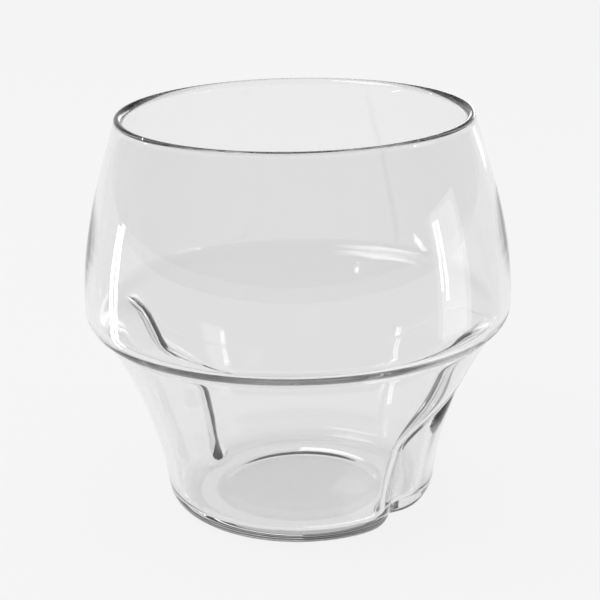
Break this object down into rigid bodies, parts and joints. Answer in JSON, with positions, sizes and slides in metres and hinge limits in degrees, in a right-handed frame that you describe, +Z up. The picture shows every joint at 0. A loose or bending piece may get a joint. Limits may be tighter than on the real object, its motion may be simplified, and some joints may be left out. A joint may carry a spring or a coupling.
{
  "type": "espresso cup",
  "caption": "Clear single-wall glass espresso cup without a handle: a round bowl overhanging a flared lower body with twisted inward fins and a thick base.",
  "frame": {"origin": "middle of the foot on the surface that the cup stands on", "axes": "+Z up along the axis of the cup, -Y towards the viewer of the picture, +X to their right"},
  "size_m": [0.066, 0.066, 0.0624],
  "materials": {
    "clear_glass": "clear colourless borosilicate, mould-blown, fire-polished lip"
  },
  "bodies": {
    "root": {"rim_lip": "clear_glass", "bowl_wall": "clear_glass", "shoulder_ring": "clear_glass", "right_fin": "clear_glass", "back_wall": "clear_glass", "left_fin": "clear_glass", "front_wall": "clear_glass", "base": "clear_glass"}
  },
  "joints": []
}
